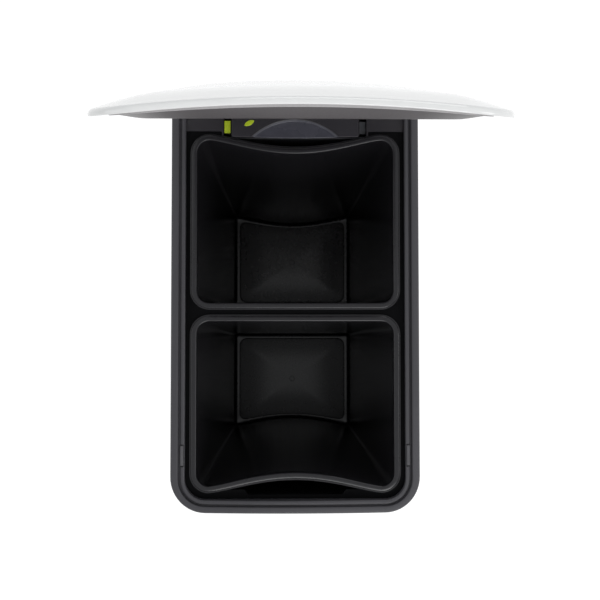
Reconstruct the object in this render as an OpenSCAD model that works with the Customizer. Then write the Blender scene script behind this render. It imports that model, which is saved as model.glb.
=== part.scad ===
// Free-standing waste unit: two lift-out bins under an arched lid,
// over a drawer with a press plate that a foot pedal drives down.
// The front faces -Y, the lid hinges at the back, and z = 0 is the floor.

/* [Body] */
// Outside width of the body at its rim
body_w = 300; // [270:5:360]
// Outside depth of the body at its rim
body_d = 496; // [460:2:600]
// Height of the rim's crest above the floor
rim_z = 905; // [890:5:1050]
// Radius of the body's front corners
front_r = 42; // [30:1:60]
// Radius of the body's rear corners
rear_r = 18; // [10:1:24]
// Thickness of the casing panels
casing_t = 3; // [2:0.5:4]
// Drop of the arched rim from the middle to the sides
crown = 10; // [6:1:16]
// Height of the plinth
plinth_z = 88; // [88:1:110]

/* [Bins] */
// Depth of a bin from the top of its rim to its foot
bin_h = 560; // [400:10:560]
// Width of the rim of a bin
bin_rim_t = 8.5; // [6:0.5:11]
// Wall thickness of a bin
bin_t = 2.5; // [2:0.5:4]
// How far each wall of a bin leans in from rim to foot
bin_draft = 17; // [8:1:24]
// Depth of the finger hollow in the outer side of a bin
bin_hollow = 15.6; // [8:0.1:22]
// How far a bin's foot sits towards the bin's flat side
bin_shift = 4; // [0:0.5:6]

/* [Lid] */
// How far the lid stands out past the body on each side
lid_over = 5; // [3:1:10]
// Thickness of the lid at its middle
lid_h = 12; // [11:0.5:16]
// Angle by which the lid stands open
lid_open = 74; // [60:0.1:78]
// Depth of the lid's inner pan
pan_h = 11.8; // [8:0.1:12]

/* [Press] */
// Travel of the press plate
press_travel = 83.8; // [60:0.1:84]
// Teeth on each pinion
pinion_teeth = 24; // [18:1:30]
// Width of the lift bar between its two racks
bar_w = 25.25; // [20:0.25:34]
// Height of the pinion shafts
pinion_z = 430; // [400:5:520]
// Radius of the pinion shafts
axle_r = 5; // [4:0.5:7]
// Half distance between the two masts
mast_x = 83; // [78:1:90]

/* [Drawer] */
// Outside width of the drawer box
drawer_w = 232; // [190:2:236]
// Height of the drawer's walls above its foot
drawer_h = 158; // [120:2:160]

/* [Pedal] */
// Distance of the pedal's pivot behind the body's front
pivot_in = 148; // [128:1:168]
// Radius of the pedal's shaft
pivot_r = 6; // [4:0.5:8]
// Width of the pedal's tread
tread_w = 150; // [100:5:180]

/* [Hidden] */
$fn = 64;
gap = 0.3;              // rest gap between loose neighbours
run = 0.06;             // radial running clearance of a shaft
reveal = 2;             // the casing stands in from the rim by this
corner_steps = 7;       // steps round a corner of a faceted outline
side_steps = 14;        // steps along a straight side of one
front_y = -body_d / 2;
rear_y = body_d / 2;
side_x = body_w / 2;
arch_r = (side_x * side_x + crown * crown) / (2 * crown);

// rim: outer band, groove, ridge
band_t = 9.5;
groove_t = 2;
ridge_t = 5.6;
rim_h = 24;
ridge_drop = 3.5;
groove_drop = 6;
band_front = 8;         // the band is narrower along the front
groove_front = 1.5;
opening_back = 8;
bumper_back = 54;       // the bumpers start this far behind the front
bumper_l = 27;
bumper_h = 4.4;
bumper_low = 16;        // their seats reach this far below the crest
rim_in = band_t + groove_t + ridge_t;
open_x = side_x - rim_in;
open_front = front_y + band_front + groove_front + ridge_t;
bumper_y = front_y + bumper_back;

// carrier ledge that holds both bins by their rims
carrier_t = 3.5;
carrier_z = rim_z - rim_h + 2;
ledge_z = carrier_z + carrier_t;
bin_lip_h = 4;
bin_top = ledge_z + gap + bin_lip_h;
bin_side_gap = 5;
bin_w = 2 * (open_x - bin_side_gap);
bin_pitch_gap = 5.5;
bin_front_gap = 6.7;
bin_clear = 1.2;        // the flap and deck keep this far from the rear bin's rim
column_d = 37.7;
bins_back = rear_y - column_d;
bin_d = (bins_back - open_front - bin_front_gap - bin_pitch_gap) / 2;
bin_r = 24;
hollow_x = bin_w / 2 - 22;
front_bin_y = open_front + bin_front_gap + bin_d / 2;
rear_bin_y = bins_back - bin_d / 2;
bin_overhang = bin_rim_t - bin_t;
pad_in = 8;             // margin round the raised pad on a bin's floor
finger_x = 57;          // half width of the carrier's finger notch at the front
foot_z = bin_top - bin_h;

// well and shelf under the bins
well_t = 2.5;
shelf_t = 4;
well_z = foot_z - 5 - well_t;
well_x = open_x + 1;
well_front = open_front - 1;
well_r = front_r - rim_in + 3;  // outer radius of the well's front corners
well_back = bins_back - 5;
column_front = well_back + well_t;

// casing
case_x = side_x - reveal;
case_front = front_y + reveal;
case_rear = rear_y;
case_top = rim_z - rim_h;
front_split = front_y + front_r + reveal;
rear_split = rear_y - rear_r;
seam = 0.5;             // open joint between casing panels
panel_gap = 5;          // shadow gap between the front panel and the drawer front
post_w = 6;
post_d = 14;
frame_y = front_split + 8;
frame_low_gap = 42;     // the posts stop this far under the casing's top

// drawer and press heights
drawer_z = plinth_z + 16;
drawer_t = 2.5;
drawer_r = 10;
handle_x = 70;          // half length of the drawer's handle
runner_z = drawer_z + 62;
runner_h = 14;
drawer_top = drawer_z + drawer_h;
drawer_back = well_back - 12;
drawer_front = case_front + casing_t + 3;
backing_x = side_x - front_r - 2;
press_plate_t = 3;
press_gap = 12;
press_z = drawer_top + press_gap;
press_rib_h = 18;
press_clear = 8;        // room under the lowered plate where the drawer's back is cut down
face_low = plinth_z + 6;
face_high = well_z - shelf_t - 10;
rail_low = max(face_high - 2, press_z + press_rib_h + 2);
rail_high = max(face_high + 6, rail_low + 5);

// masts, pinions and lift bar in the column behind the bins
gear_y0 = column_front + 6;
gear_t = 12;
mast_t = 7.75;
mast_d = 15;
mast_y = column_front + 4 + mast_d / 2;
mast_in = mast_x - mast_t / 2;
mast_out = mast_x + mast_t / 2;
bar_x = bar_w / 2;
rack_base = 1.3;        // a rack's pitch line stands off its bar by this many modules
gear_m = (mast_in - bar_x) / (pinion_teeth + 2 * rack_base);
pinion_r = gear_m * pinion_teeth / 2;
rack_pitch = PI * gear_m;
mast_line = mast_in - rack_base * gear_m;
pinion_x = mast_line - pinion_r;
bar_line = bar_x + rack_base * gear_m;
pressure = 20;          // pressure angle of the teeth
backlash = 0.12;        // a rack's teeth are thinner by this on both flanks
root_depth = 1.25;      // depth of the teeth under the pitch line, in modules
rack_reach = 14;
bar_top = pinion_z + rack_reach + 6;
back_plate_t = 3;
back_plate_y = rear_y - casing_t - 5;
back_plate_out = back_plate_y + back_plate_t;
bridge_t = 5;           // thickness of the shelf over the springs
mast_top = ledge_z - 1;
cap_h = 4;

// pedal frame
pivot_y = body_d / 2 - pivot_in;
pivot_z = 45;
arm_t = 8;
arm_x = side_x - reveal - 4 - 3 - arm_t;
lift_y = mast_y + 1;
rod_r = 6;
tread_y = front_y - 14;
tread_d = 44;
neck_x = tread_w / 2 - 16;      // half width of the neck under the tread
window_x = neck_x + 4;          // half width of the window it comes out of
tread_z = 74;
tread_t = 8;
base_t = 4;
ring_h = 6;
spring_x = 30;
guide_r = 4;
guide_y = lift_y + rod_r + guide_r + 1.4;
spring_turns = 8;
spring_wire = 1.6;
spring_r = 7.2;
crosshead_z = pivot_z + rod_r + 9;
crosshead_h = 8;
spring_low = crosshead_z + crosshead_h;
spring_high = spring_low + press_travel + 46;

// lid
lid_gap = 0.8;
lid_x = side_x + lid_over;
lid_front = front_y - lid_over;
lid_rear = rear_y + lid_over;
hinge_y = rear_y + 9;
hinge_z = rim_z - 3;
hinge_r = 4;
knuckle_r = 7;
hinge_x = 88;
bracket_d = 5;
ear_t = 5;
notch_x = 16;
knuckle_w = 14;
lid_wall = 2.5;
lid_edge = 4;           // radius of the lid's rounded edge
lid_lip = 1.6;          // plain upright lip below that edge
lid_rise = 2.8;         // the roof is level from 1 / lid_rise of the way to its crown
lid_roof = lid_gap + lid_lip + lid_edge;
lid_swell = lid_h - lid_lip - lid_edge;
lid_core = lid_x - lid_edge - 5;        // rings stop at a strip this far inside the edge
pan_in = 15;            // the pan's root stands in from the lid's edge
pan_slope = 19;         // sideways run of the pan's sloping side
pan_t = 2;
pan_z = rim_z + lid_gap - pan_h;        // level floor of the pan when the lid is shut
pan_rear_r = 60;        // radius of the pan's rear corners
pan_back = bins_back - 6;

// flap over the filter box
slat_half = 4;          // four slots or slats on each side of the middle one
flap_x = mast_x - 6;
flap_z = bin_top + 1.5;
flap_t = 3.5;
flap_pin_z = flap_z - flap_t - 3;
dish_d = 26;            // front to back of the finger dish
dish_deep = 1.8;
flap_front = bins_back - 4.3;
flap_rear = rear_y - 14;
tab_x = 50.7;
tab_out = 5;
flap_pin_r = 1.5;
filter_h = 42;
filter_low = ledge_z - filter_h - 3;
slot_gap = 0.6;         // play of a mast in the deck's slot

// ---- shared shapes ----

// Rounded rectangle from y0 to y1, half width hx, with its own front and rear radii.
module plate2d(hx, y0, y1, rf, rr) {
    union() {
        translate([-hx + rf, y0]) square([2 * (hx - rf), rf + 1]);
        translate([-hx, y0 + rf]) square([2 * hx, y1 - y0 - rf - rr]);
        translate([-hx + rr, y1 - rr - 1]) square([2 * (hx - rr), rr + 1]);
        for (s = [-1, 1]) {
            translate([s * (hx - rf), y0 + rf]) circle(r = rf);
            translate([s * (hx - rr), y1 - rr]) circle(r = rr);
        }
    }
}

// The body's plan, moved in by inset.
module body2d(inset) {
    plate2d(side_x - inset, front_y + inset, rear_y - inset, front_r - inset, max(rear_r - inset, 3));
}

// A slab between two heights.
module slab(z0, z1) {
    translate([0, 0, z0]) linear_extrude(z1 - z0) children();
}

// A box given by its low and high corners.
module box(a, b) {
    translate(a) cube([b[0] - a[0], b[1] - a[1], b[2] - a[2]]);
}

// The arched body of revolution along Y whose crest lies at height z.
module arch(z) {
    translate([0, front_y - 50, z - arch_r]) rotate([-90, 0, 0])
        cylinder(r = arch_r, h = body_d + 100, $fn = 900);
}

// A rod along X from x0 to x1.
module rod_x(x0, x1, y, z, r) {
    translate([x0, y, z]) rotate([0, 90, 0]) cylinder(r = r, h = x1 - x0);
}

// A rod along Y from y0 to y1.
module rod_y(x, y0, y1, z, r) {
    translate([x, y0, z]) rotate([-90, 0, 0]) cylinder(r = r, h = y1 - y0);
}

module both() {
    for (s = [0, 1]) mirror([s, 0, 0]) children();
}

// Joins equal rings of points into one closed solid, capped at both ends.
module skin(rings) {
    n = len(rings[0]);
    m = len(rings);
    polyhedron(
        points = [for (ring = rings) each ring],
        faces = concat(
            [[for (i = [0 : n - 1]) i]],
            [for (k = [0 : m - 2]) for (i = [0 : n - 1]) let (j = (i + 1) % n, l = k + 1)
                each [[k * n + i, l * n + i, l * n + j], [k * n + i, l * n + j, k * n + j]]],
            [[for (i = [n - 1 : -1 : 0]) (m - 1) * n + i]]));
}

// ---- outline of a bin ----

// Corner arc about c, from angle a to a + 90.
function arc(c, r, a) =
    [for (i = [0 : corner_steps]) let (b = a + 90 * i / corner_steps) c + r * [cos(b), sin(b)]];

// A bin's plan with its hollow on the +Y side.
// Every face stands in by inset, and the hollow is deepened by more.
function bin_outline(inset, more) =
    let (hx = bin_w / 2 - inset, hy = bin_d / 2 - inset,
        r = max(bin_r - inset, 6), hollow = bin_hollow + more)
    [for (p = concat(
        arc([hx - r, -hy + r], r, -90),
        arc([hx - r, hy - r], r, 0),
        [for (i = [1 : side_steps - 1]) [(hx - r) * (1 - 2 * i / side_steps), hy]],
        arc([-hx + r, hy - r], r, 90),
        arc([-hx + r, -hy + r], r, 180)))
        let (u = min(abs(p[0]) / hollow_x, 1))
        p[1] > 0 ? [p[0], p[1] - hollow * pow(1 - u * u, 1.5) * p[1] / hy] : p];

// The same outline set at a height, and moved back.
function at(points, z, back = 0) = [for (p = points) [p[0], p[1] - back, z]];

module bin() {
    under = bin_top - bin_lip_h;
    pad = bin_rim_t + bin_draft + pad_in;
    skin([
        at(bin_outline(bin_overhang + bin_draft + 4, -2), foot_z, bin_shift),
        at(bin_outline(bin_overhang + bin_draft, -2), foot_z + 4, bin_shift),
        at(bin_outline(bin_overhang, 0), under),
        at(bin_outline(0, 0), under),
        at(bin_outline(0, 0), bin_top - 1),
        at(bin_outline(1, 0.4), bin_top),
        at(bin_outline(bin_rim_t - 1, 0.6), bin_top),
        at(bin_outline(bin_rim_t, 1), bin_top - 1),
        at(bin_outline(bin_rim_t + bin_draft, -1), foot_z + 6, bin_shift),
        at(bin_outline(bin_rim_t + bin_draft + 4, -1), foot_z + bin_t, bin_shift)]);
    // raised pad on the bin's floor
    skin([
        at(bin_outline(pad, -3), foot_z + bin_t - 0.5, bin_shift),
        at(bin_outline(pad, -3), foot_z + bin_t + 2, bin_shift),
        at(bin_outline(pad + 2, -3), foot_z + bin_t + 3, bin_shift)]);
}

// Room that the rear bin's rim needs, in plan.
module rear_bin_room() {
    translate([0, rear_bin_y]) polygon(bin_outline(-bin_clear, 0));
}

module front_bin() {
    color("#3c3b3f") translate([0, front_bin_y, 0]) rotate([0, 0, 180]) bin();
}

module rear_bin() {
    color("#3c3b3f") translate([0, rear_bin_y, 0]) bin();
}

// ---- casing ----

// Ring that the unit stands on.
module foot_ring() {
    color("#202022") slab(0, ring_h) difference() {
        body2d(reveal + 3);
        body2d(reveal + 16);
    }
}

// Plinth: floor, wall, a front window for the pedal and bosses for its shaft.
module base_tray() {
    color("#39393c") difference() {
        union() {
            difference() {
                slab(ring_h, plinth_z) body2d(reveal);
                slab(ring_h + base_t, plinth_z + 1) body2d(reveal + base_t);
            }
            both() box([arm_x + arm_t + 1.5, -pivot_y - 12, ring_h + 1],
                [case_x - 1, -pivot_y + 12, pivot_z + 14]);
            both() box([spring_x - 10, guide_y - 10, ring_h + 1],
                [spring_x + 10, guide_y + 10, ring_h + base_t + 6]);
        }
        box([-window_x, front_y - 1, 16], [window_x, front_y + reveal + base_t + 12, tread_z + 4]);
        rod_x(-case_x + 3, case_x - 3, -pivot_y, pivot_z, pivot_r);
        both() translate([spring_x, guide_y, ring_h + base_t]) cylinder(r = guide_r, h = 10);
    }
}

// One flat side panel with a returned foot.
module side_casing() {
    box([case_x - casing_t, front_split + seam, plinth_z + seam], [case_x, rear_split - seam, case_top]);
    for (z = [plinth_z + 60, case_top - 40])
        box([case_x - casing_t - 4, frame_y + post_d + 2, z], [case_x - casing_t + 1, rear_split - 6, z + 3]);
}

// Charcoal steel side panels.
module side_casing_left() {
    color("#3d3d40") mirror([1, 0, 0]) side_casing();
}

module side_casing_right() {
    color("#3d3d40") side_casing();
}

// The casing's plan ring, kept between y0 and y1.
module case_ring(y0, y1) {
    intersection() {
        difference() {
            plate2d(case_x, case_front, case_rear, front_r - reveal, rear_r);
            plate2d(case_x - casing_t, case_front + casing_t, case_rear - casing_t,
                front_r - reveal - casing_t, rear_r - casing_t);
        }
        translate([-side_x, y0]) square([2 * side_x, y1 - y0]);
    }
}

screw_spots = [for (x = [-110, 110]) for (z = [plinth_z + 30, case_top - 60]) [x, z]];

// Rear casing with vent slots, screwed on at four corners.
module rear_cover() {
    color("#37373a") difference() {
        slab(plinth_z + seam, case_top) case_ring(rear_split, rear_y + 1);
        for (p = screw_spots) rod_y(p[0], rear_y - 10, rear_y + 1, p[1], 2.2);
        for (i = [0 : 7]) box([-40, rear_y - 10, 180 + 12 * i], [40, rear_y + 1, 184 + 12 * i]);
    }
}

// Pan-head screws of the rear cover.
module rear_screws() {
    color("#8d8f92") for (p = screw_spots) {
        rod_y(p[0], rear_y - 12, rear_y, p[1], 1.9);
        rod_y(p[0], rear_y, rear_y + 2, p[1], 4);
    }
}

// White front panel over the drawer, wrapped round both front corners.
module front_panel() {
    color("#f1f1f0") slab(face_high + panel_gap, case_top) case_ring(front_y - 1, front_split);
}

// Posts and rails that tie the casings together and frame the drawer.
module front_frame() {
    post_out = case_x - casing_t;
    post_in = post_out - post_w;
    color("#2e2e31") union() {
        both() box([post_in, frame_y, plinth_z], [post_out, frame_y + post_d, case_top - frame_low_gap]);
        box([-post_in - 1, frame_y, rail_low], [post_in + 1, frame_y + post_d, rail_high]);
    }
}

// Cuts a slab of outline 0 less outline 1 down to the arch whose crest is at z.
module arched_ring(z) {
    intersection() {
        slab(case_top, rim_z + 1) difference() {
            children(0);
            children(1);
        }
        arch(z);
    }
}

module band_edge2d() {
    plate2d(side_x - band_t, front_y + band_front, rear_y - 4, front_r - band_t, rear_r - 6);
}

module ridge_edge2d() {
    plate2d(open_x + ridge_t, open_front - ridge_t, rear_y - 5.5, front_r - band_t - groove_t, rear_r - 8);
}

module opening2d() {
    plate2d(open_x, open_front, rear_y - opening_back, front_r - rim_in, 6);
}

// Top frame: outer band, groove and ridge, each cut to its own arch.
module rim_frame() {
    color("#4b4b4e") difference() {
        union() {
            arched_ring(rim_z) {
                body2d(0);
                band_edge2d();
            }
            arched_ring(rim_z - groove_drop) {
                plate2d(side_x - band_t + 1, front_y + band_front - 1, rear_y - 3,
                    front_r - band_t + 1, rear_r - 5);
                opening2d();
            }
            arched_ring(rim_z - ridge_drop) {
                ridge_edge2d();
                opening2d();
            }
        }
        // seats of the two bumpers
        both() box([open_x + 1, bumper_y, rim_z - bumper_low],
            [open_x + ridge_t + 0.4, bumper_y + bumper_l, rim_z]);
        // room for the carrier
        slab(case_top - 1, ledge_z)
            plate2d(well_x + well_t, well_front - well_t, rear_y - opening_back - 1, well_r, 6);
        // seats of the hinge brackets
        both() box([hinge_x - knuckle_w - 2, rear_y - bracket_d, rim_z - 18],
            [hinge_x + knuckle_w + 2, rear_y + 1, rim_z + 2]);
    }
}

// Pads that the lid closes on.
module rim_bumpers() {
    low = rim_z - bumper_low;
    color("#1d1d1f") both() box([open_x + 1.4, bumper_y + 0.4, low],
        [open_x + ridge_t, bumper_y + bumper_l - 0.4, low + bumper_h]);
}

// Ledge plate with an opening for each bin and a finger notch at the front.
module bin_carrier() {
    hx = bin_w / 2 - bin_overhang + 1.5;
    hy = bin_d / 2 - bin_overhang + 1.5;
    color("#26262a") difference() {
        slab(carrier_z, ledge_z)
            plate2d(well_x + well_t - gap, well_front - well_t + gap, bins_back + 3, well_r - gap, 4);
        slab(carrier_z - 1, ledge_z + 1) {
            for (y = [front_bin_y, rear_bin_y]) translate([0, y]) plate2d(hx, -hy, hy, bin_r - 6, bin_r - 6);
            polygon([[-finger_x, open_front + 5], [finger_x, open_front + 5],
                [finger_x + 7, open_front + 16], [-finger_x - 7, open_front + 16]]);
            translate([-mast_x - 7, column_front - 2]) square([2 * mast_x + 14, 20]);
        }
    }
}

// Open-topped tub that both bins hang in.
module bin_well() {
    color("#1b1b1e") difference() {
        slab(well_z, carrier_z) plate2d(well_x + well_t, well_front - well_t, column_front, well_r, 5);
        slab(well_z + well_t, carrier_z + 1) plate2d(well_x, well_front, well_back, front_r - rim_in, 3);
    }
}

// Steel shelf under the well that closes the drawer's bay.
module mid_shelf() {
    color("#6d6f72") slab(well_z - shelf_t, well_z) difference() {
        plate2d(case_x - casing_t - gap, frame_y + post_d + gap, back_plate_y - gap, 3, rear_r - 8);
        translate([-mast_x - 8, column_front + 1]) square([2 * mast_x + 16, 60]);
    }
}

// ---- deck, flap and filter ----

// Deck behind the bins: slots for both masts and a box for the filter.
module rear_deck() {
    y0 = bins_back + 3 + gap;
    color("#2b292e") difference() {
        union() {
            slab(carrier_z, ledge_z) plate2d(open_x + 1, y0, rear_y - 9 - gap, 2, 4);
            box([-mast_x - 6.5, column_front + gap, carrier_z], [mast_x + 6.5, y0 + 3, ledge_z]);
            // filter box and the upstands that carry the flap
            box([-flap_x + 2, column_front + gap, filter_low - 3],
                [flap_x - 2, flap_rear + 4, flap_z - flap_t - gap]);
        }
        both() box([mast_in - slot_gap, column_front - 1, carrier_z - 1],
            [mast_out + slot_gap, mast_y + mast_d / 2 + 4, ledge_z + 1]);
        box([-flap_x + 5, column_front + 2.5, filter_low], [flap_x - 5, flap_rear + 1, flap_z]);
        slab(ledge_z, flap_z) rear_bin_room();
        // flap hinge ears stand in these notches
        both() box([flap_x - 14, flap_rear - 6, ledge_z - 4], [flap_x - 1, flap_rear + 5, flap_z]);
        for (i = [-slat_half : slat_half])
            box([12 * i - 3, column_front + 8, filter_low - 4], [12 * i + 3, flap_rear - 6, filter_low + 3]);
        rod_x(-flap_x - 1, flap_x + 1, flap_rear, flap_pin_z, flap_pin_r);
    }
}

// Pins of the flap, held in the deck's walls.
module filter_flap_pins() {
    color("#8d8f92") both() rod_x(flap_x - 19, flap_x - 2, flap_rear, flap_pin_z, flap_pin_r);
}

// Flap with a dished finger pull whose lip stands out at its front edge.
module filter_flap() {
    tab_r = (tab_x * tab_x + tab_out * tab_out) / (2 * tab_out);
    dish_reach = dish_d - tab_out;
    dish_r = (tab_x * tab_x + dish_d * dish_d) / (2 * dish_d);
    color("#2f2d33") difference() {
        union() {
            box([-flap_x, flap_front, flap_z - flap_t], [flap_x, flap_rear - 3, flap_z]);
            slab(flap_z - flap_t, flap_z) intersection() {
                translate([0, flap_front - tab_out + tab_r]) circle(r = tab_r, $fn = 128);
                translate([-tab_x, flap_front - tab_out]) square([2 * tab_x, tab_out + 8]);
            }
            both() {
                rod_x(flap_x - 13, flap_x - 6, flap_rear, flap_pin_z, 3);
                box([flap_x - 13, flap_rear - 6, flap_pin_z], [flap_x - 6, flap_rear, flap_z - 0.5]);
            }
        }
        translate([0, flap_front + dish_reach - dish_r, flap_z - dish_deep])
            cylinder(r1 = dish_r - 2.5, r2 = dish_r, h = dish_deep + 0.001, $fn = 128);
        slab(flap_z - flap_t - 1, flap_z + 1) rear_bin_room();
        rod_x(-flap_x, flap_x, flap_rear, flap_pin_z, flap_pin_r + run);
    }
}

// Odour filter with slots along its top.
module filter_cartridge() {
    color("#4a4a4a") difference() {
        box([-flap_x + 6, column_front + 4, filter_low], [flap_x - 6, flap_rear - 7, ledge_z - 4]);
        for (i = [-slat_half : slat_half])
            box([14 * i - 4, column_front + 7, ledge_z - 12], [14 * i + 4, flap_rear - 10, ledge_z]);
    }
}

// ---- lid, drawn closed and then swung open ----

module swung() {
    translate([0, hinge_y, hinge_z]) rotate([-lid_open, 0, 0]) translate([0, -hinge_y, -hinge_z]) children();
}

// Height h over the rim's arch, at x.
function arch_z(x, h) = rim_z + h - x * x / (2 * arch_r);

// The lid's plan moved in by inset, with front and rear radii.
function lid_outline(inset, rf, rr) =
    let (hx = lid_x - inset, y0 = lid_front + inset, y1 = lid_rear - inset,
        a = max(rf - inset, 4), b = max(rr - inset, 4))
    concat(
        arc([hx - a, y0 + a], a, -90), arc([hx - b, y1 - b], b, 0),
        [for (i = [1 : side_steps - 1]) [(hx - b) * (1 - 2 * i / side_steps), y1]],
        arc([-hx + b, y1 - b], b, 90), arc([-hx + a, y0 + a], a, 180),
        [for (i = [1 : side_steps - 1]) [(hx - a) * (2 * i / side_steps - 1), y0]]);

// That plan as a ring of points at height h over the arch.
function lid_ring(inset, h) =
    [for (p = lid_outline(inset, front_r + lid_over, rear_r + lid_over)) [p[0], p[1], arch_z(p[0], h)]];

// Height of the roof's top at t, from 0 at the rounded edge to 1 at the crown.
function roof_h(t) = lid_roof + lid_swell * sin(90 * min(1, lid_rise * t));

roof_steps = [0.06, 0.12, 0.18, 0.27, 0.36, 0.66, 1];

// A thin shell: rings of the outer face from its lip inwards, then of the inner face back out to the lip.
module shell_solid(outer, inner) {
    rings = concat(outer, inner);
    n = len(rings[0]);
    m = len(rings);
    top = len(outer) - 1;
    polyhedron(
        points = [for (ring = rings) each ring],
        faces = concat(
            [for (k = [0 : m - 1]) if (k != top) for (i = [0 : n - 1]) let (j = (i + 1) % n, l = (k + 1) % m)
                each [[k * n + i, l * n + i, l * n + j], [k * n + i, l * n + j, k * n + j]]],
            strip_cap(top * n, false),
            strip_cap((top + 1) * n, true)));
}

// Closes a narrow ring with a ladder of triangles between its two long sides.
function strip_cap(first, turned) =
    let (n = 2 * (2 * (corner_steps + 1) + side_steps - 1), start = corner_steps + 1)
    [for (k = [0 : n / 2 - 2]) let (
        a = first + (start + n - k - 1) % n, b = first + (start + k) % n,
        c = first + (start + n - k - 2) % n, d = first + (start + k + 1) % n)
        each turned ? [[a, b, d], [a, d, c]] : [[a, d, b], [a, c, d]]];

module lid_shell() {
    function roof(t, drop) =
        lid_ring(lid_edge + t * lid_core, roof_h(t) - drop);
    outer = concat(
        [lid_ring(0, lid_gap), lid_ring(0, lid_gap + lid_lip)],
        [for (a = [15 : 15 : 90]) lid_ring(lid_edge * (1 - cos(a)), lid_gap + lid_lip + lid_edge * sin(a))],
        [for (t = roof_steps) roof(t, 0)]);
    inner = concat(
        [for (k = [len(roof_steps) - 1 : -1 : 0]) roof(roof_steps[k], lid_wall)],
        [for (a = [90 : -30 : 30]) lid_ring(lid_wall + (lid_edge - lid_wall) * (1 - cos(a)),
            lid_gap + lid_lip + (lid_edge - lid_wall) * sin(a))],
        [lid_ring(lid_wall, lid_gap)]);
    color("#f4f4f3") swung() difference() {
        shell_solid(outer, inner);
        // gaps for the hinge leaves in the rear wall
        both() box([hinge_x - notch_x, rear_y - 2, hinge_z - 12],
            [hinge_x + notch_x, lid_rear + 1, rim_z + 7]);
    }
}

// Dark pan under the lid, with sloping sides.
module lid_pan() {
    function pan_plan(inset) = [for (p = lid_outline(inset, front_r + lid_over, pan_rear_r))
        [p[0], min(p[1], pan_back - inset)]];
    function arched(inset, h) = [for (p = pan_plan(inset)) [p[0], p[1], arch_z(p[0], h)]];
    function level(inset, z) = [for (p = pan_plan(inset)) [p[0], p[1], z]];
    foot = pan_in + pan_slope;
    back_z = pan_z + pan_t;
    under_roof = roof_h((pan_in - lid_edge) / lid_core) - lid_wall - gap;
    core = lid_x - foot - 5;
    // face that looks down into the bins, then the back of the sheet
    face = [arched(pan_in, under_roof), arched(pan_in, lid_gap), level(foot, pan_z + 0.6),
        level(foot + 1, pan_z), level(foot + core / 2, pan_z), level(foot + core, pan_z)];
    back = [level(foot + core, back_z), level(foot + core / 2, back_z), level(foot + 1, back_z),
        arched(pan_in + pan_t, lid_gap + pan_t / 2), arched(pan_in + pan_t, under_roof)];
    color("#5a5659") swung() shell_solid(face, back);
}

// Leaf of each hinge, screwed under the lid's roof.
module lid_hinge_leaves() {
    pad_y = hinge_y - 22;
    pad_top = roof_h((lid_rear - pad_y - lid_edge) / lid_core) - lid_wall;
    color("#2e2e31") swung() both() difference() {
        union() {
            box([hinge_x - knuckle_w / 2, pan_back + 8, rim_z - 4],
                [hinge_x + knuckle_w / 2, hinge_y, rim_z - 1]);
            rod_x(hinge_x - knuckle_w / 2, hinge_x + knuckle_w / 2, hinge_y, hinge_z, knuckle_r);
            box([hinge_x - 4, pan_back + 10, rim_z - 2],
                [hinge_x + 4, pad_y, arch_z(hinge_x + 4, pad_top) - gap]);
        }
        rod_x(hinge_x - knuckle_w, hinge_x + knuckle_w, hinge_y, hinge_z, hinge_r + run);
    }
}

// Two ears for each hinge, on a foot that is screwed into the rim frame.
module hinge_brackets() {
    ear_in = knuckle_w / 2 + gap;
    color("#2e2e31") both() union() {
        box([hinge_x - ear_in - ear_t, rear_y - bracket_d, case_top + 6],
            [hinge_x + ear_in + ear_t, rear_y - 0.5, hinge_z - knuckle_r - 3]);
        for (x = [-ear_in - ear_t, ear_in]) translate([hinge_x + x, 0, 0]) difference() {
            union() {
                box([0, rear_y - bracket_d, case_top + 6], [ear_t, hinge_y, hinge_z]);
                rod_x(0, ear_t, hinge_y, hinge_z, knuckle_r);
            }
            rod_x(-1, ear_t + 1, hinge_y, hinge_z, hinge_r);
        }
    }
}

// Headed hinge pins.
module hinge_pins() {
    color("#9a9c9f") both() union() {
        rod_x(hinge_x - 13, hinge_x + 13, hinge_y, hinge_z, hinge_r);
        rod_x(hinge_x + 12.5, hinge_x + 14.5, hinge_y, hinge_z, hinge_r + 2);
    }
}

// ---- drawer ----

// Open drawer that the rubbish is pressed in.
module drawer_box() {
    hx = drawer_w / 2;
    color("#2a2a2d") difference() {
        slab(drawer_z, drawer_top) plate2d(hx, drawer_front, drawer_back, drawer_r, drawer_r);
        slab(drawer_z + 3, drawer_top + 1)
            plate2d(hx - drawer_t, drawer_front + drawer_t, drawer_back - drawer_t,
                drawer_r - 2, drawer_r - 2);
        // low back that the arms of the press drop past
        box([-hx + drawer_r, drawer_back - 6, press_z - press_travel - press_clear],
            [hx - drawer_r, drawer_back + 1, drawer_top + 1]);
    }
}

// Spacer that joins the drawer's front to its box.
module drawer_backing() {
    color("#323236") box([-backing_x, case_front + casing_t, face_low + 4],
        [backing_x, drawer_front, face_high - 6]);
}

// White drawer front, wrapped round both front corners.
module drawer_front() {
    color("#f1f1f0") slab(face_low, face_high) case_ring(front_y - 1, front_split);
}

// Bar handle on two posts.
module drawer_handle() {
    z = face_high - 26;
    bar_y = case_front - 22;
    color("#a9abae") union() {
        rod_x(-handle_x, handle_x, bar_y, z, 6);
        both() rod_y(handle_x - 14, bar_y, case_front, z, 4.5);
    }
}

// Sliding strips on both sides of the drawer.
module drawer_runners() {
    color("#c9c9c6") both() box([drawer_w / 2, drawer_front + 60, runner_z],
        [drawer_w / 2 + 7, drawer_back - 14, runner_z + runner_h]);
}

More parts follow.
